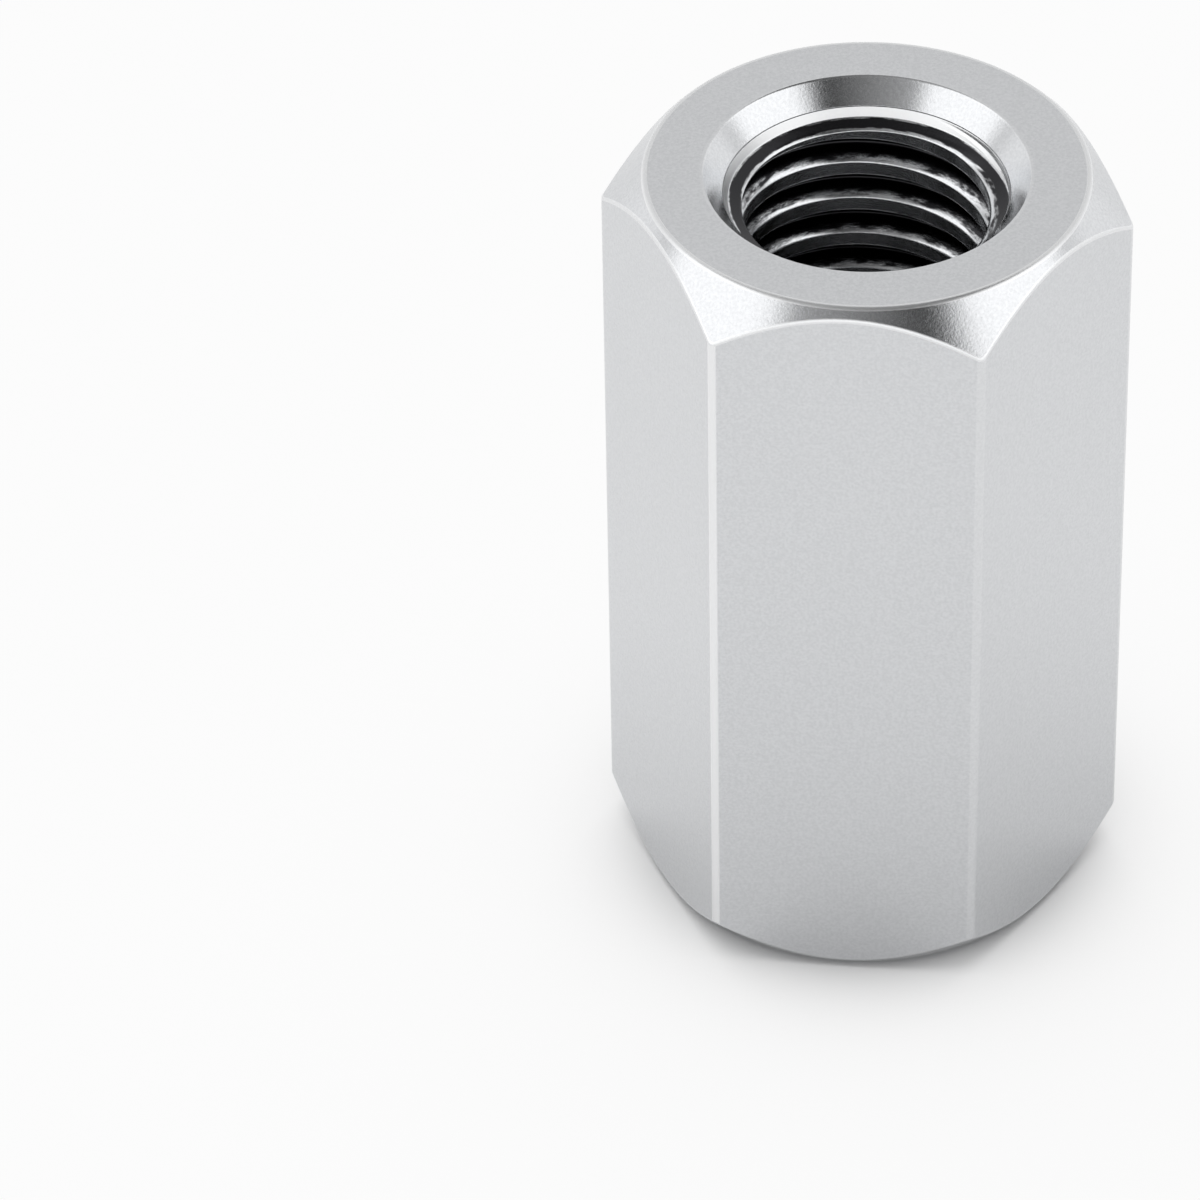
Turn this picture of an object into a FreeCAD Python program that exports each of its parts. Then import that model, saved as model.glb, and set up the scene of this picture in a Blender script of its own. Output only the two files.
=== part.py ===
import FreeCAD, Part
import math
import os

# Coupling nut with an M8 x 1.25 thread, turned from hexagon bar in one piece.
# Lengths are in millimetres and angles in degrees. The nut stands on its lower
# end face: the origin is the centre of that face and +Z is the thread axis.
# The hexagon has two corners on the X axis and two flats across the Y axis.

# Hexagon bar
ACROSS_FLATS = 13.0
LENGTH = 24.0
CORNER_RADIUS = 0.25

# Turned ends: a flat face that stops a little inside the flats, then a chamfer
FACE_MARGIN = 0.265
FACE_DIAMETER = ACROSS_FLATS - 2 * FACE_MARGIN
CHAMFER_ANGLE = 48.0

# Internal right-hand thread, with the basic flat at its root. The tapping bore
# leaves it a little shallower than the basic 0.54 of the pitch.
ROOT_DIAMETER = 8.0
PITCH = 1.25
THREAD_DEPTH = 0.44 * PITCH
TAP_BORE = ROOT_DIAMETER - 2 * THREAD_DEPTH
FLANK_ANGLE = 60.0
ROOT_FLAT = PITCH / 8
START_ANGLE = 184.0

# Mouth of the bore: a countersink that reaches outside the root of the thread, a
# steeper bevel, then a shallow shoulder that takes off the start of the thread
SINK_MARGIN = 0.60
SINK_DIAMETER = ROOT_DIAMETER + 2 * SINK_MARGIN
SINK_ANGLE = 80.0
MOUTH_CLEARANCE = 0.03
BEVEL_ANGLE = 60.0
SHOULDER_INSET = 0.12
SHOULDER_ANGLE = 144.0

# The wall of the bore is laid out in sectors, one behind each flat, which
# keeps every face of the winding crest short. The seams of the chamfers lie
# half a sector round, in the middle of two flats.
SECTORS = 6
HALF_SECTOR = 180 / SECTORS

# How far the turned shapes and the groove reach past the surfaces they cut
OVERCUT = 1.0
GROOVE_OVERCUT = 0.1

CENTRE = FreeCAD.Vector(0, 0, 0)
AXIS = FreeCAD.Vector(0, 0, 1)


def rise(run, angle):
    """Height gained over a run by a slope at this angle from the flat."""
    return run * math.tan(math.radians(angle))


def profile(points):
    """A closed flat outline in the XZ plane, from (radius, height) pairs."""
    corners = [FreeCAD.Vector(radius, 0, height) for radius, height in points]
    return Part.makePolygon(corners + corners[:1])


def turned(points, sectors=1):
    """The solid that a profile sweeps about the axis, in equal sectors."""
    step = 360 / sectors
    pieces = []
    for k in range(sectors):
        piece = Part.Face(profile(points)).revolve(CENTRE, AXIS, step)
        piece.rotate(CENTRE, AXIS, k * step)
        pieces.append(piece)
    return pieces[0].fuse(pieces[1:]) if sectors > 1 else pieces[0]


def hexagon_bar():
    """The drawn bar, with its six long corners rounded."""
    corner = ACROSS_FLATS / math.sqrt(3)
    points = []
    for k in range(6):
        angle = math.radians(60 * k)
        points.append(FreeCAD.Vector(corner * math.cos(angle), corner * math.sin(angle), 0))
    bar = Part.Face(Part.makePolygon(points + points[:1])).extrude(LENGTH * AXIS)
    long_edges = [e for e in bar.Edges if e.BoundBox.ZLength > LENGTH / 2]
    return bar.makeFillet(CORNER_RADIUS, long_edges)


def turned_envelope():
    """What the lathe leaves standing: the end faces and the chamfers round them."""
    face = FACE_DIAMETER / 2
    outside = ACROSS_FLATS / math.sqrt(3) + OVERCUT
    drop = rise(outside - face, CHAMFER_ANGLE)
    envelope = turned([
        (0, 0),
        (face, 0),
        (outside, drop),
        (outside, LENGTH - drop),
        (face, LENGTH),
        (0, LENGTH),
    ])
    envelope.rotate(CENTRE, AXIS, HALF_SECTOR)
    return envelope


def bore_cutter():
    """The tapping bore with the countersink, bevel and shoulder at both ends."""
    sink = SINK_DIAMETER / 2
    mouth = ROOT_DIAMETER / 2 + MOUTH_CLEARANCE
    shoulder = ROOT_DIAMETER / 2 - SHOULDER_INSET
    bore = TAP_BORE / 2
    sink_depth = rise(sink - mouth, 90 - SINK_ANGLE / 2)
    bevel_depth = sink_depth + rise(mouth - shoulder, 90 - BEVEL_ANGLE / 2)
    shoulder_depth = bevel_depth + rise(shoulder - bore, 90 - SHOULDER_ANGLE / 2)
    over = rise(OVERCUT, 90 - SINK_ANGLE / 2)
    return turned([
        (0, -over),
        (sink + OVERCUT, -over),
        (mouth, sink_depth),
        (shoulder, bevel_depth),
        (bore, shoulder_depth),
        (bore, LENGTH - shoulder_depth),
        (shoulder, LENGTH - bevel_depth),
        (mouth, LENGTH - sink_depth),
        (sink + OVERCUT, LENGTH + over),
        (0, LENGTH + over),
    ], SECTORS)


def thread_cutter():
    """The thread groove, from one pitch below the nut to one pitch above it."""
    root = ROOT_DIAMETER / 2
    inside = TAP_BORE / 2 - GROOVE_OVERCUT
    half_root = ROOT_FLAT / 2
    half_mouth = half_root + rise(root - inside, FLANK_ANGLE / 2)
    section = profile([
        (inside, -half_mouth),
        (root, -half_root),
        (root, half_root),
        (inside, half_mouth),
    ])
    helix = Part.makeLongHelix(PITCH, LENGTH + 2 * PITCH, root)
    groove = Part.Wire(helix.Edges).makePipeShell([section], True, True)
    groove.translate(-PITCH * AXIS)
    groove.rotate(CENTRE, AXIS, START_ANGLE)
    return groove


def coupling_nut():
    """The bar faced and chamfered, then bored, then threaded."""
    blank = hexagon_bar().common(turned_envelope())
    return blank.cut(bore_cutter()).cut(thread_cutter())


os.makedirs("parts", exist_ok=True)
coupling_nut().exportStep("parts/coupling_nut.step")
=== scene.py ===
import math

import bpy
import numpy as np
from mathutils import Matrix, Vector


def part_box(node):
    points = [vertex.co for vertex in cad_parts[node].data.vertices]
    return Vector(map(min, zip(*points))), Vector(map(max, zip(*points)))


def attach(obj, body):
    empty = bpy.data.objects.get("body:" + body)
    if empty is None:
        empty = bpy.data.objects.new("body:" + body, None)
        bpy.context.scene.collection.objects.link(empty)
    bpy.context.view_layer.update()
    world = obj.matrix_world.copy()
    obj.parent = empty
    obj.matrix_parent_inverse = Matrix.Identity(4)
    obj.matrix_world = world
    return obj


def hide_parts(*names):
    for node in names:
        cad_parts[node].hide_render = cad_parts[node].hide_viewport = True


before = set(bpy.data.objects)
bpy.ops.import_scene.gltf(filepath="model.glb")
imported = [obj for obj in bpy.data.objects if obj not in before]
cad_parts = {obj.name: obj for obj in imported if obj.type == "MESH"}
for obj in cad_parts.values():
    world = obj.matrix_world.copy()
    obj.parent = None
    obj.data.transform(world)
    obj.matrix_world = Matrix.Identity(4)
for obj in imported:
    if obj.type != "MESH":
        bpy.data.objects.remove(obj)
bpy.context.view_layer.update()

# The finished surface of a zinc-plated M8 coupling nut: soft rims where the turned
# faces meet, and a finer thread. Named lengths are in millimetres, and what is built
# from them is scaled to the frame's metres at the end. Named angles are in degrees.
# The nut stands on the origin, with the thread axis on +Z and two corners of the
# hexagon on the X axis.
MM = 0.001
NODE = "coupling_nut"
low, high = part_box(NODE)
LENGTH = (high.z - low.z) / MM
ACROSS_FLATS = (high.y - low.y) / MM
CORNER_RADIUS = 0.25

# Turned ends
FACE_MARGIN = 0.265
CHAMFER_ANGLE = 48.0

# Internal right-hand thread
ROOT_DIAMETER = 8.0
PITCH = 1.25
THREAD_DEPTH = 0.44 * PITCH
FLANK_ANGLE = 60.0
ROOT_FLAT = PITCH / 8
START_ANGLE = 184.0

# Mouth of the bore: a countersink, a hair-fine step, a steeper bevel, then a
# shallow shoulder that takes off the start of the thread
SINK_MARGIN = 0.60
SINK_ANGLE = 80.0
MOUTH_CLEARANCE = 0.03
MOUTH_STEP = 0.03
BEVEL_ANGLE = 60.0
SHOULDER_INSET = 0.12
SHOULDER_ANGLE = 144.0

# Softening that the plating and tumbling leave on every edge
RIM_RADIUS = 0.20
ARC_RADIUS = 0.17
SINK_RIM_RADIUS = 0.12
MOUTH_RADIUS = 0.02
CREST_BLEND = 0.12
ROOT_BLEND = 0.08
BEVEL_BLEND = 0.02
SHOULDER_BLEND = 0.18

# Fineness of the mesh: spaces across a rounded corner, a flat and a soft rim, level
# rows down the bevel and the shoulder, and turns of winding rows past the nut's ends
CORNER_STEPS = 6
FLAT_STEPS = 20
RIM_STEPS = 6
BEVEL_ROWS = 12
SHOULDER_ROWS = 28
SPARE_TURNS = 3

# Gap to the rows and columns that end a worn edge and its painted highlight, how far in
# the clean strip of the bevel reaches above the thread, how far the level rows go on past
# the shoulder before the winding rows take over, and the step over which a slope is measured
EDGE_HOLD = 0.025
CLEAN_INSET = MOUTH_CLEARANCE / 3
MOUTH_OVERLAP = 0.05
SLOPE_STEP = 1e-5

# How far handling has rubbed an edge, from 0 to 1, with a painted highlight to match: the two
# rims of the end face, the arcs where the chamfer meets the flats, the bevel, and each long
# corner, from the +X corner round. The lower rims and arcs have a share of the upper wear and
# highlight.
SINK_RIM_WEAR_AND_HIGHLIGHT = 0.15
RIM_WEAR_AND_HIGHLIGHT = 0.65
ARC_WEAR_AND_HIGHLIGHT = 0.6
BEVEL_WEAR_AND_HIGHLIGHT = 0.75
LOWER_WEAR_AND_HIGHLIGHT_SHARE = 0.25
CORNER_WEAR_AND_HIGHLIGHT = (0.3, 0.3, 0.3, 0.3, 0.85, 0.2)

# Where the painted shade of the groove starts, and the range over which it fills in: by the
# depth in the groove, and on the shoulder by the distance outside the crest
SHADE_START = 0.05
SHADE_RANGE = 0.18
SHOULDER_SHADE_START = 0.05
SHOULDER_SHADE_RANGE = 0.05


def tan(angle):
    """Tangent of an angle in degrees."""
    return math.tan(math.radians(angle))


face_radius = ACROSS_FLATS / 2 - FACE_MARGIN
root_radius = ROOT_DIAMETER / 2
bore_radius = root_radius - THREAD_DEPTH
sink_radius = root_radius + SINK_MARGIN
mouth_radius = root_radius + MOUTH_CLEARANCE
clean_radius = mouth_radius - CLEAN_INSET
shoulder_radius = root_radius - SHOULDER_INSET

sink_depth = (sink_radius - mouth_radius) / tan(SINK_ANGLE / 2)
clean_depth = sink_depth + CLEAN_INSET / tan(BEVEL_ANGLE / 2)
bevel_depth = sink_depth + (mouth_radius - shoulder_radius) / tan(BEVEL_ANGLE / 2)
shoulder_depth = bevel_depth + (shoulder_radius - bore_radius) / tan(SHOULDER_ANGLE / 2)
mouth_end = shoulder_depth + MOUTH_OVERLAP


def hexagon_radius(angle):
    """Distance from the axis to the side of the bar, with its corners rounded."""
    flat = ACROSS_FLATS / 2
    from_corner = abs((angle + math.pi / 6) % (math.pi / 3) - math.pi / 6)
    centre = (flat - CORNER_RADIUS) / math.cos(math.pi / 6)
    if from_corner >= corner_half_angle():
        return flat / math.cos(math.pi / 6 - from_corner)
    across = centre * math.sin(from_corner)
    return centre * math.cos(from_corner) + math.sqrt(CORNER_RADIUS ** 2 - across ** 2)


def corner_half_angle():
    """Angle at the axis from the middle of a rounded corner to where the flat begins."""
    centre = (ACROSS_FLATS / 2 - CORNER_RADIUS) / math.cos(math.pi / 6)
    return math.atan2(CORNER_RADIUS / 2, centre + CORNER_RADIUS * math.cos(math.pi / 6))


def column_angles():
    """Angles of the mesh's columns: close together on the corners, even on the flats."""
    half = corner_half_angle()
    held = half + 2 * EDGE_HOLD / ACROSS_FLATS
    corner = np.linspace(-half, half, CORNER_STEPS + 1)
    flat = np.linspace(held, math.pi / 3 - held, FLAT_STEPS + 1)
    sector = np.concatenate([corner, flat])
    return np.concatenate([sector + k * math.pi / 3 for k in range(6)])


def outline_corners(angle):
    """Corners of the turned outline at one angle, from the upper bevel round to the lower."""
    side = hexagon_radius(angle)
    drop = (side - face_radius) * tan(CHAMFER_ANGLE)
    upper = [
        (clean_radius, LENGTH - clean_depth, 0, 0),
        (mouth_radius, LENGTH - sink_depth, MOUTH_RADIUS, 0),
        (mouth_radius, LENGTH - sink_depth + MOUTH_STEP, MOUTH_RADIUS, 0),
        (sink_radius, LENGTH, SINK_RIM_RADIUS, SINK_RIM_WEAR_AND_HIGHLIGHT),
        (face_radius, LENGTH, RIM_RADIUS, RIM_WEAR_AND_HIGHLIGHT),
        (side, LENGTH - drop, ARC_RADIUS, ARC_WEAR_AND_HIGHLIGHT),
    ]
    lower = []
    for radius, height, soft, wear_and_highlight in reversed(upper):
        lower.append((radius, LENGTH - height, soft, wear_and_highlight * LOWER_WEAR_AND_HIGHLIGHT_SHARE))
    return upper + lower


def outline(angle):
    """Points with their outward directions, and the wear and painted highlight there, in the half
    plane at one angle.
    """
    corners = outline_corners(angle)
    points = [np.array(corner[:2]) for corner in corners]
    steps = [(end - start) / np.linalg.norm(end - start) for start, end in zip(points, points[1:])]
    outward = [np.array((-step[1], step[0])) for step in steps]
    rows = [(points[0], outward[0])]
    wear_and_highlight = [0]
    for k in range(1, len(points) - 1):
        turn = math.atan2(np.dot(outward[k - 1], steps[k]), np.dot(steps[k - 1], steps[k]))
        soft = -math.copysign(corners[k][2], turn)
        reach = soft * math.tan(-turn / 2)
        centre = points[k] - steps[k - 1] * reach - outward[k - 1] * soft
        first = math.atan2(outward[k - 1][1], outward[k - 1][0])
        arc = []
        for share in np.linspace(0, 1, RIM_STEPS + 1):
            lean = first + turn * share
            direction = np.array((math.cos(lean), math.sin(lean)))
            arc.append((centre + direction * soft, direction))
        if corners[k][3]:
            before = (points[k] - steps[k - 1] * (reach + EDGE_HOLD), outward[k - 1])
            after = (points[k] + steps[k] * (reach + EDGE_HOLD), outward[k])
            rows += [before] + arc + [after]
            wear_and_highlight += [0] + [corners[k][3]] * len(arc) + [0]
        else:
            rows += arc
            wear_and_highlight += [0] * len(arc)
    rows.append((points[-1], outward[-1]))
    wear_and_highlight.append(0)
    return np.array(rows), np.array(wear_and_highlight)


def edge_wear_and_highlight(angles):
    """How far each point of the outside lies on a rubbed edge, with its painted highlight, from 0
    to 1.
    """
    rows, wear_and_highlight = outline(0)
    radius = rows[:, 0, 0]
    on_side = radius > radius.max() - SLOPE_STEP
    grid = np.tile(wear_and_highlight, (len(angles), 1))
    columns = len(angles) // 6
    for k in range(6):
        corner = slice(k * columns, k * columns + CORNER_STEPS + 1)
        # Each long corner gets its own amount of wear and painted highlight
        grid[corner] = np.maximum(grid[corner], on_side * CORNER_WEAR_AND_HIGHLIGHT[k])
    return grid


def outer_surface(angles):
    """Points and normals of every column of the turned and hexagonal outside."""
    up = np.array((0, 0, 1))
    points = []
    normals = []
    for angle in angles:
        here = outline(angle)[0]
        change = outline(angle + SLOPE_STEP)[0] - outline(angle - SLOPE_STEP)[0]
        slopes = change[:, 0] / (2 * SLOPE_STEP)
        radial = np.array((math.cos(angle), math.sin(angle), 0))
        tangent = np.array((-math.sin(angle), math.cos(angle), 0))
        for (radius, height), (out, lift), (widen, climb) in zip(here[:, 0], here[:, 1], slopes):
            points.append(radial * radius + up * height)
            along = radial * lift - up * out
            round_it = radial * widen + tangent * radius + up * climb
            normal = np.cross(along, round_it)
            normals.append(normal / np.linalg.norm(normal))
    shape = (len(angles), -1, 3)
    return np.array(points).reshape(shape), np.array(normals).reshape(shape)


def smooth_max(first, second, reach):
    """The larger of two lengths, rounded where they differ by less than reach."""
    near = np.maximum(reach - np.abs(first - second), 0) / reach
    return np.maximum(first, second) + near ** 2 * reach / 4


def lead(angle):
    """Height that the middle of the groove has wound to at an angle, on its first turn."""
    return PITCH * (angle - math.radians(START_ANGLE)) / (2 * math.pi)


def thread_radius(angle, height):
    """Radius of the thread alone: the winding groove cut into the tapping bore."""
    offset = np.abs((height - lead(angle) + PITCH / 2) % PITCH - PITCH / 2)
    flank = root_radius - (offset - ROOT_FLAT / 2) / tan(FLANK_ANGLE / 2)
    groove = -smooth_max(-flank, -root_radius, ROOT_BLEND)
    return smooth_max(groove, bore_radius, CREST_BLEND)


def mouth_surface_radius(height):
    """Radius of the turned mouths alone: the bevel and the shoulder at either end."""
    depth = np.minimum(height, LENGTH - height)
    bevel = mouth_radius - (depth - sink_depth) * tan(BEVEL_ANGLE / 2)
    shoulder = shoulder_radius - (depth - bevel_depth) * tan(SHOULDER_ANGLE / 2)
    return -smooth_max(-bevel, -shoulder, BEVEL_BLEND)


def bore_surface_radius(angle, height):
    """Radius of the threaded bore, which the turned mouths open up at both ends."""
    depth = np.minimum(height, LENGTH - height)
    reach = np.interp(depth, (bevel_depth, shoulder_depth), (BEVEL_BLEND, SHOULDER_BLEND))
    return smooth_max(thread_radius(angle, height), mouth_surface_radius(height), reach)


def groove_painted_shade(angle, height):
    """How far the painted shade of groove and shoulder covers the bore, from 0 to 1."""
    depth = np.minimum(height, LENGTH - height)
    surface = bore_surface_radius(angle, height)
    turned = np.maximum(mouth_surface_radius(height), bore_radius)
    groove = np.clip((surface - turned - SHADE_START) / SHADE_RANGE, 0, 1)
    outside_crest = surface - bore_radius
    shoulder = np.clip((outside_crest - SHOULDER_SHADE_START) / SHOULDER_SHADE_RANGE, 0, 1)
    shoulder = shoulder * (depth > bevel_depth) * (depth < shoulder_depth)
    return np.maximum(groove, shoulder)


def mouth_depths():
    """Depths of the level rows of a mouth, down the bevel and on over the shoulder."""
    bevel = np.linspace(clean_depth, bevel_depth - BEVEL_BLEND, BEVEL_ROWS)
    shoulder = np.linspace(bevel_depth + BEVEL_BLEND, mouth_end, SHOULDER_ROWS)
    return np.concatenate([bevel[1:], [bevel_depth], shoulder])


def rows_of_a_turn():
    """Heights of the mesh's rows over one pitch, set where the thread's shape bends."""
    half_root = ROOT_FLAT / 2
    half_mouth = half_root + THREAD_DEPTH * tan(FLANK_ANGLE / 2)
    root_bend = ROOT_BLEND * tan(FLANK_ANGLE / 2)
    crest_bend = CREST_BLEND * tan(FLANK_ANGLE / 2)
    side = [
        half_root - root_bend,
        half_root,
        half_root + root_bend,
        (half_root + half_mouth) / 2,
        half_mouth - crest_bend,
        half_mouth - crest_bend / 3,
        half_mouth + crest_bend / 3,
        half_mouth + crest_bend,
    ]
    return np.array([-h for h in reversed(side)] + [0] + side + [PITCH / 2])


def winding_heights(angles):
    """Heights of the winding rows at every column, from below the nut to above it."""
    turns = int(LENGTH / PITCH) + SPARE_TURNS
    one_turn = rows_of_a_turn()
    rows = np.concatenate([one_turn + PITCH * (turn - 1) for turn in range(turns)])
    return rows[None, :] + lead(angles)[:, None]


def bore_points(angle, height):
    """Points and normals of the bore at matching arrays of angle and height."""
    radius = bore_surface_radius(angle, height)
    ahead = bore_surface_radius(angle + SLOPE_STEP, height)
    behind = bore_surface_radius(angle - SLOPE_STEP, height)
    above = bore_surface_radius(angle, height + SLOPE_STEP)
    below = bore_surface_radius(angle, height - SLOPE_STEP)
    slope_round = (ahead - behind) / (2 * SLOPE_STEP) / radius
    slope_up = (above - below) / (2 * SLOPE_STEP)
    points = np.stack([radius * np.cos(angle), radius * np.sin(angle), height], -1)
    normals = np.stack([
        -np.cos(angle) - np.sin(angle) * slope_round,
        -np.sin(angle) + np.cos(angle) * slope_round,
        slope_up,
    ], -1)
    return points, normals / np.linalg.norm(normals, axis=-1, keepdims=True)


def level_surface(angles):
    """Points, normals, wear with painted highlight, and painted shade of the level rows, from the
    upper mouth to the lower.
    """
    depths = mouth_depths()
    count = len(depths)
    upper_rows = np.meshgrid(angles, LENGTH - depths[::-1], indexing="ij")
    lower_rows = np.meshgrid(angles, depths, indexing="ij")
    upper, upper_normals = bore_points(*upper_rows)
    outside, outside_normals = outer_surface(angles)
    lower, lower_normals = bore_points(*lower_rows)
    points = np.concatenate([upper, outside, lower], axis=1)
    normals = np.concatenate([upper_normals, outside_normals, lower_normals], axis=1)

    # The first and the last row of the outside lie on the bevels as well
    bevel = depths < bevel_depth
    outside_bevel = np.zeros(outside.shape[1], dtype=bool)
    outside_bevel[[0, -1]] = True
    wear_and_highlight = np.pad(edge_wear_and_highlight(angles), ((0, 0), (count, count)))
    # The bevel rows get wear and a painted highlight
    wear_and_highlight[:, np.concatenate([bevel[::-1], outside_bevel, bevel])] = BEVEL_WEAR_AND_HIGHLIGHT

    painted_shade = np.zeros(wear_and_highlight.shape)
    # Painted shade in the groove and on the shoulder of either mouth
    painted_shade[:, :count] = groove_painted_shade(*upper_rows)
    painted_shade[:, -count:] = groove_painted_shade(*lower_rows)
    return points, normals, wear_and_highlight, painted_shade


def strip_faces(left, right):
    """Faces between two columns of point numbers, less the sides that have no length."""
    faces = []
    for ring in zip(left, left[1:], right[1:], right):
        corners = [int(point) for k, point in enumerate(ring) if point != ring[k - 1]]
        if len(set(corners)) > 2:
            faces.append(tuple(corners))
    return faces


def all_faces(level, winding):
    """Faces over the level rows, then over the winding rows, which meet one turn higher."""
    faces = []
    for left, right in zip(level, np.roll(level, -1, axis=0)):
        faces += strip_faces(left, right)
    for left, right in zip(winding, winding[1:]):
        faces += strip_faces(left, right)
    shift = len(rows_of_a_turn())
    return faces + strip_faces(winding[-1][:-shift], winding[0][shift:])


def paint(mesh, name, parts):
    """Stores a value from 0 to 1 at every point of the mesh, for its material."""
    values = np.concatenate(parts).astype(np.float32)
    mesh.attributes.new(name, "FLOAT", "POINT").data.foreach_set("value", values)


def nut_mesh():
    """One closed mesh: the level rows column by column, then the winding rows between them."""
    angles = column_angles()
    points, normals, wear_and_highlight, painted_shade = level_surface(angles)
    level = np.arange(wear_and_highlight.size).reshape(wear_and_highlight.shape)

    # Past the mouths, the winding rows close up on the last level row of either end
    heights = winding_heights(angles)
    inside = (heights > mouth_end) & (heights < LENGTH - mouth_end)
    winding = np.where(heights < LENGTH / 2, level[:, -1:], level[:, :1])
    winding[inside] = level.size + np.arange(inside.sum())
    inner_rows = np.broadcast_to(angles[:, None], heights.shape)[inside], heights[inside]
    inner_points, inner_normals = bore_points(*inner_rows)
    # Painted shade deep in the winding groove
    inner_painted_shade = groove_painted_shade(*inner_rows)

    mesh = bpy.data.meshes.new("nut_finish")
    all_points = np.concatenate([points.reshape(-1, 3), inner_points]) * MM
    mesh.from_pydata(all_points.tolist(), [], all_faces(level, winding))
    mesh.shade_smooth()
    # Painted highlight on the rubbed edges, and painted shade in the groove and on the shoulder
    paint(mesh, "wear_and_highlight_mask", [wear_and_highlight.ravel(), np.zeros(len(inner_painted_shade))])
    paint(mesh, "painted_shade", [painted_shade.ravel(), inner_painted_shade])
    all_normals = np.concatenate([normals.reshape(-1, 3), inner_normals])
    mesh.normals_split_custom_set_from_vertices(all_normals.tolist())
    return mesh


def node(tree, kind, **settings):
    """A new shader node with some of its properties set."""
    made = tree.nodes.new(kind)
    for name, value in settings.items():
        setattr(made, name, value)
    return made


def feed(tree, made, settings):
    """Fills a node's inputs: a socket is linked, and a plain value is written."""
    for name, value in settings.items():
        if isinstance(value, bpy.types.NodeSocket):
            tree.links.new(value, made.inputs[name])
        else:
            made.inputs[name].default_value = value


def math_node(tree, operation, *values):
    """A math node whose inputs are sockets or plain numbers."""
    made = node(tree, "ShaderNodeMath", operation=operation)
    feed(tree, made, dict(enumerate(values)))
    return made.outputs[0]


def blend(tree, kind, share, first, second):
    """A mix of two colours or two numbers: the first at share 0 and the second at 1."""
    made = node(tree, "ShaderNodeMix", data_type=kind)
    feed(tree, made, {"Factor": share, "A": first, "B": second})
    return made.outputs["Result"]


def ease(tree, value, low_end, high_end, low_value=0.0, high_value=1.0, shape="SMOOTHSTEP"):
    """A change of a socket from one value to another, smooth unless said otherwise."""
    made = node(tree, "ShaderNodeMapRange", interpolation_type=shape)
    feed(tree, made, {
        "Value": value,
        "From Min": low_end,
        "From Max": high_end,
        "To Min": low_value,
        "To Max": high_value,
    })
    return made.outputs[0]


def noise(tree, place, grain, detail, roughness):
    """Even noise over the surface, with grains of a size in millimetres."""
    made = node(tree, "ShaderNodeTexNoise")
    feed(tree, made, {
        "Vector": place,
        "Scale": 1 / (grain * MM),
        "Detail": detail,
        "Roughness": roughness,
    })
    return made.outputs["Fac"]


# Zinc plate: two close greys in a fine grain, with a painted highlight where the edges are
# rubbed, and painted shade, near black, in the groove of the thread and on the shoulder, up
# to a ragged edge. Noise is used from a low to a high value, between which most of it lies.
PLATE_DARK = (0.655, 0.665, 0.680, 1)
PLATE_LIGHT = (0.725, 0.735, 0.750, 1)
# Colours of the painted highlight on rubbed edges and of the painted shade in the groove
PAINTED_HIGHLIGHT = (0.92, 0.925, 0.93, 1)
PAINTED_GROOVE_SHADE = (0.04, 0.04, 0.043, 1)
NOISE_LOW = 0.3
NOISE_HIGH = 0.7
GRAIN_SIZE = 0.09
GRAIN_DETAIL = 3
GRAIN_ROUGHNESS = 0.6

# Streaks along the turns of the thread, which make the edge of the painted shade ragged
STREAK_SIZE = 0.10
STREAK_DETAIL = 3
STREAK_ROUGHNESS = 0.6
STREAK_STRETCH = 6
STREAK_REACH = 5.0

# Fine relief of the plate, and the gloss that goes with it
RELIEF_SIZE = 0.075
RELIEF_DETAIL = 4
RELIEF_ROUGHNESS = 0.7
RELIEF_HEIGHT = 0.0042
BURNISHED_RELIEF = 0.2
SMOOTHEST = 0.12
ROUGHEST = 0.18
BURNISHED_ROUGHNESS = 0.42


def painted_shade_cover(tree, place):
    """How far the painted shade covers the plate, with streaks across its edge."""
    painted_shade = node(tree, "ShaderNodeAttribute", attribute_name="painted_shade").outputs["Fac"]
    along = node(tree, "ShaderNodeMapping")
    feed(tree, along, {"Vector": place, "Scale": (1 / STREAK_STRETCH, 1 / STREAK_STRETCH, 1)})
    streak = noise(tree, along.outputs["Vector"], STREAK_SIZE, STREAK_DETAIL, STREAK_ROUGHNESS)
    reach = ease(tree, streak, NOISE_LOW, NOISE_HIGH, -STREAK_REACH, STREAK_REACH, "LINEAR")
    edge = math_node(tree, "MULTIPLY", painted_shade, math_node(tree, "SUBTRACT", 1, painted_shade))
    return math_node(tree, "ADD", painted_shade, math_node(tree, "MULTIPLY", edge, reach))


def plate_colour(tree, place, rubbed_and_highlight):
    """The grained greys, the painted highlights on the rubbed edges and the painted shade in the
    groove.
    """
    grain = noise(tree, place, GRAIN_SIZE, GRAIN_DETAIL, GRAIN_ROUGHNESS)
    plate = blend(tree, "RGBA", ease(tree, grain, NOISE_LOW, NOISE_HIGH), PLATE_DARK, PLATE_LIGHT)
    # Rubbed edges lightened toward near white: a painted highlight
    plate_with_highlight = blend(tree, "RGBA", rubbed_and_highlight, plate, PAINTED_HIGHLIGHT)
    # Groove and shoulder darkened to near black: painted shade
    return blend(tree, "RGBA", painted_shade_cover(tree, place), plate_with_highlight, PAINTED_GROOVE_SHADE)


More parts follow.
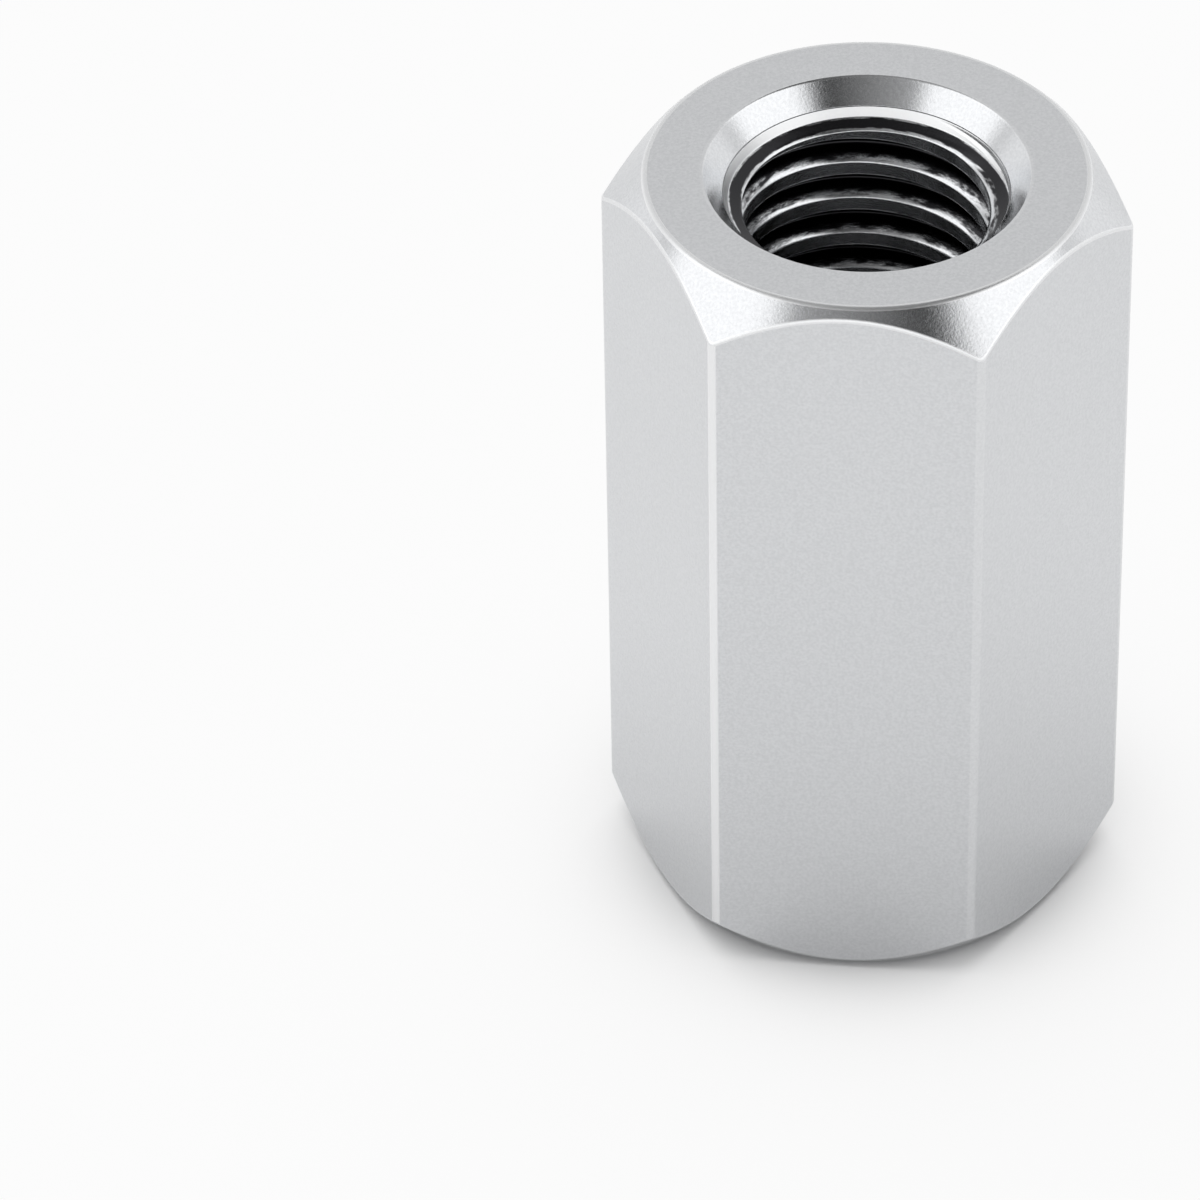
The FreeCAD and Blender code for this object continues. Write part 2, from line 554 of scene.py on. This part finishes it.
def zinc_plate():
    """Bright zinc on turned steel: cool grey, satin, with a fine uneven grain."""
    material = bpy.data.materials.new("zinc_plate")
    material.use_nodes = True
    tree = material.node_tree
    place = node(tree, "ShaderNodeTexCoord").outputs["Object"]
    rubbed_and_highlight = node(tree, "ShaderNodeAttribute", attribute_name="wear_and_highlight_mask").outputs["Fac"]
    relief = noise(tree, place, RELIEF_SIZE, RELIEF_DETAIL, RELIEF_ROUGHNESS)
    satin = ease(tree, relief, NOISE_LOW, NOISE_HIGH, SMOOTHEST, ROUGHEST)
    bump = node(tree, "ShaderNodeBump")
    feed(tree, bump, {
        "Height": relief,
        "Strength": ease(tree, rubbed_and_highlight, 0, 1, 1.0, BURNISHED_RELIEF),
        "Distance": RELIEF_HEIGHT * MM,
    })
    feed(tree, tree.nodes["Principled BSDF"], {
        "Base Color": plate_colour(tree, place, rubbed_and_highlight),
        "Metallic": 1.0,
        "Roughness": blend(tree, "FLOAT", rubbed_and_highlight, satin, BURNISHED_ROUGHNESS),
        "Normal": bump.outputs["Normal"],
    })
    return material


def build_nut():
    """The finished nut, which stands for the frame's plain one."""
    nut = bpy.data.objects.new("nut_finish", nut_mesh())
    bpy.context.scene.collection.objects.link(nut)
    nut.data.materials.append(zinc_plate())
    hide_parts(NODE)
    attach(nut, "root")


# Floor: a pale flat sheet that reaches past every view. It glows where the lens sees
# it, from nothing at the foot of the nut to nearly full a little further out, and a
# little where the metal shows it, so the shadow stays close round the foot. Its
# width and its drop below the foot are in metres.
FLOOR_SIZE = 4.0
FLOOR_DROP = 0.00001
FLOOR_COLOUR = (0.90, 0.90, 0.90, 1)
GLOW_START = 6.3
GLOW_REACH = 1.4
GLOW_FULL = 0.90
GLOW_REFLECTED = 0.10
GLOW_LIGHT = 0.98


def floor_glow(tree):
    """The share of the floor that glows: more away from the nut, less in the metal."""
    path = node(tree, "ShaderNodeLightPath").outputs
    distance = node(tree, "ShaderNodeVectorMath", operation="LENGTH")
    feed(tree, distance, {0: node(tree, "ShaderNodeTexCoord").outputs["Object"]})
    beyond = math_node(tree, "SUBTRACT", distance.outputs["Value"], GLOW_START * MM)
    beyond = math_node(tree, "MAXIMUM", beyond, 0)
    fall = math_node(tree, "EXPONENT", math_node(tree, "DIVIDE", beyond, -GLOW_REACH * MM))
    share = math_node(tree, "MULTIPLY", math_node(tree, "SUBTRACT", 1, fall), GLOW_FULL)
    straight = math_node(tree, "MAXIMUM", path["Is Camera Ray"], path["Is Transmission Ray"])
    in_metal = math_node(tree, "MULTIPLY", path["Is Glossy Ray"], GLOW_REFLECTED)
    return math_node(tree, "ADD", math_node(tree, "MULTIPLY", straight, share), in_metal)


def floor_paper():
    """Matt pale paper, mixed with a plain glow."""
    material = bpy.data.materials.new("floor_paper")
    material.use_nodes = True
    tree = material.node_tree
    tree.nodes.clear()
    paper = node(tree, "ShaderNodeBsdfDiffuse")
    feed(tree, paper, {"Color": FLOOR_COLOUR})
    glow = node(tree, "ShaderNodeEmission")
    feed(tree, glow, {"Strength": GLOW_LIGHT})
    mix = node(tree, "ShaderNodeMixShader")
    feed(tree, mix, {"Fac": floor_glow(tree), 1: paper.outputs[0], 2: glow.outputs[0]})
    feed(tree, node(tree, "ShaderNodeOutputMaterial"), {"Surface": mix.outputs[0]})
    return material


def build_floor():
    """The sheet that the nut stands on."""
    half = FLOOR_SIZE / 2
    sides = ((-half, -half), (half, -half), (half, half), (-half, half))
    mesh = bpy.data.meshes.new("floor")
    mesh.from_pydata([(x, y, -FLOOR_DROP) for x, y in sides], [], [(0, 1, 2, 3)])
    mesh.materials.append(floor_paper())
    floor = bpy.data.objects.new("floor", mesh)
    bpy.context.scene.collection.objects.link(floor)


# Camera of the photograph: a long lens, found from the nut's outline. Its nearest
# and furthest reach are in metres.
CAMERA_AZIMUTH = -85.35
CAMERA_ELEVATION = 39.15
CAMERA_DISTANCE = 232.6
CAMERA_TARGET = 10.4
CAMERA_PAN = 1.88
CAMERA_TILT = -0.37
CAMERA_ROLL = 0.42
CAMERA_LENS = 240.9
CAMERA_NEAREST = 0.01
CAMERA_FURTHEST = 10.0
SENSOR_WIDTH = 36.0


def direction_to(azimuth, elevation):
    """The unit vector toward an azimuth and an elevation in degrees."""
    level_turn = math.radians(azimuth)
    lift = math.radians(elevation)
    return Vector((
        math.cos(level_turn) * math.cos(lift),
        math.sin(level_turn) * math.cos(lift),
        math.sin(lift),
    ))


def facing(direction):
    """The rotation that points a camera or a lamp along a direction."""
    return direction.to_track_quat("-Z", "Y").to_matrix().to_4x4()


def build_camera():
    """The camera that took the photograph, panned off the nut's axis."""
    data = bpy.data.cameras.new("camera")
    data.sensor_width = SENSOR_WIDTH
    data.lens = CAMERA_LENS
    data.clip_start = CAMERA_NEAREST
    data.clip_end = CAMERA_FURTHEST
    camera = bpy.data.objects.new("camera", data)
    bpy.context.scene.collection.objects.link(camera)
    outward = direction_to(CAMERA_AZIMUTH, CAMERA_ELEVATION)
    place = Vector((0, 0, CAMERA_TARGET)) + outward * CAMERA_DISTANCE
    pan = Matrix.Rotation(math.radians(CAMERA_PAN), 4, "Y")
    tilt = Matrix.Rotation(math.radians(CAMERA_TILT), 4, "X")
    roll = Matrix.Rotation(math.radians(CAMERA_ROLL), 4, "Z")
    camera.matrix_world = Matrix.Translation(place * MM) @ facing(-outward) @ pan @ tilt @ roll
    bpy.context.scene.camera = camera


# Studio: a white tent, grey behind the nut, with a dark opening above the lens.
# The rise of a direction is its angle from the level line toward the lens, by way
# of the zenith, and its side is how far it leans to the right, from -1 to 1. The
# tent changes from the low light to its full light between two rises, and from
# there to the back light between two more. Toward the sides the back has a light
# of its own, which changes again toward the level line behind.
TENT_LIGHT = 1.38
LOW_LIGHT = 1.18
LOW_END = 18.0
TENT_START = 44.0
BACK_LIGHT = 0.77
BACK_START = 112.0
BACK_FULL = 126.0
BACK_SIDE_LIGHT = 0.72
BACK_SIDE_END = 134.0
BACK_LEVEL_LIGHT = 1.02
BACK_LEVEL_START = 150.0
SIDE_START = 0.4
SIDE_FULL = 0.8

# The opening lies between two rises and two sides, each with a soft edge. It fades
# from the left light at its left side to the right light at its darkest side.
OPENING_LOW = 35.0
OPENING_HIGH = 117.0
OPENING_EDGE = 2.5
OPENING_LEFT = -0.51
OPENING_LEFT_EDGE = 0.03
OPENING_LEFT_LIGHT = 0.46
OPENING_RIGHT = 0.535
OPENING_RIGHT_EDGE = 0.09
OPENING_RIGHT_LIGHT = 0.05
OPENING_DARKEST = 0.40

# The paper is lit apart from the metal: by a low even light and by a broad lamp
# nearly overhead, which leaves the dark line under the nut
PAPER_LIGHT = 0.30
LAMP_AZIMUTH = 115.0
LAMP_ELEVATION = 76.0
LAMP_SPREAD = 70.0
LAMP_STRENGTH = 2.2


def build_lamp():
    """The lamp over the paper, which the metal doesn't show."""
    data = bpy.data.lights.new("lamp", "SUN")
    data.angle = math.radians(LAMP_SPREAD)
    data.energy = LAMP_STRENGTH
    lamp = bpy.data.objects.new("lamp", data)
    bpy.context.scene.collection.objects.link(lamp)
    lamp.matrix_world = facing(-direction_to(LAMP_AZIMUTH, LAMP_ELEVATION))
    lamp.visible_glossy = False


def rise_and_side(tree):
    """The rise and the side of the direction in which a ray leaves."""
    turned = node(tree, "ShaderNodeVectorRotate", rotation_type="Z_AXIS")
    feed(tree, turned, {
        "Vector": node(tree, "ShaderNodeTexCoord").outputs["Generated"],
        "Angle": math.radians(-CAMERA_AZIMUTH),
    })
    split = node(tree, "ShaderNodeSeparateXYZ")
    feed(tree, split, {0: turned.outputs[0]})
    ahead, side, up = split.outputs
    rise = math_node(tree, "DEGREES", math_node(tree, "ARCTAN2", up, ahead))
    return rise, side


def tent_light(tree, rise, side):
    """Light of the tent without its opening."""
    front = ease(tree, rise, LOW_END, TENT_START, LOW_LIGHT, TENT_LIGHT)
    at_side = ease(tree, math_node(tree, "ABSOLUTE", side), SIDE_START, SIDE_FULL)
    sides = ease(tree, rise, BACK_SIDE_END, BACK_LEVEL_START, BACK_SIDE_LIGHT, BACK_LEVEL_LIGHT)
    back = blend(tree, "FLOAT", at_side, BACK_LIGHT, sides)
    return blend(tree, "FLOAT", ease(tree, rise, BACK_START, BACK_FULL), front, back)


def opening_cover(tree, rise, side):
    """How far a direction lies inside the opening, from 0 to 1."""
    cover = 1.0
    for value, start, end in (
        (rise, OPENING_LOW - OPENING_EDGE, OPENING_LOW + OPENING_EDGE),
        (rise, OPENING_HIGH + OPENING_EDGE, OPENING_HIGH - OPENING_EDGE),
        (side, OPENING_LEFT - OPENING_LEFT_EDGE, OPENING_LEFT + OPENING_LEFT_EDGE),
        (side, OPENING_RIGHT + OPENING_RIGHT_EDGE, OPENING_RIGHT - OPENING_RIGHT_EDGE),
    ):
        cover = math_node(tree, "MULTIPLY", cover, ease(tree, value, start, end))
    return cover


def build_studio():
    """The world: the tent that the metal shows, and the even light on the paper."""
    world = bpy.data.worlds.new("studio")
    bpy.context.scene.world = world
    world.use_nodes = True
    tree = world.node_tree
    tree.nodes.clear()
    rise, side = rise_and_side(tree)
    fade = (OPENING_LEFT, OPENING_DARKEST, OPENING_LEFT_LIGHT, OPENING_RIGHT_LIGHT)
    opening = ease(tree, side, *fade, shape="LINEAR")
    tent = tent_light(tree, rise, side)
    in_metal = blend(tree, "FLOAT", opening_cover(tree, rise, side), tent, opening)
    diffuse_bounces = node(tree, "ShaderNodeLightPath").outputs["Diffuse Depth"]
    on_paper = math_node(tree, "GREATER_THAN", diffuse_bounces, 0)
    studio = node(tree, "ShaderNodeBackground")
    feed(tree, studio, {
        "Color": (1, 1, 1, 1),
        "Strength": blend(tree, "FLOAT", on_paper, in_metal, PAPER_LIGHT),
    })
    feed(tree, node(tree, "ShaderNodeOutputWorld"), {"Surface": studio.outputs[0]})


build_nut()
build_floor()
build_camera()
build_lamp()
build_studio()
bpy.context.scene.view_settings.view_transform = "Standard"
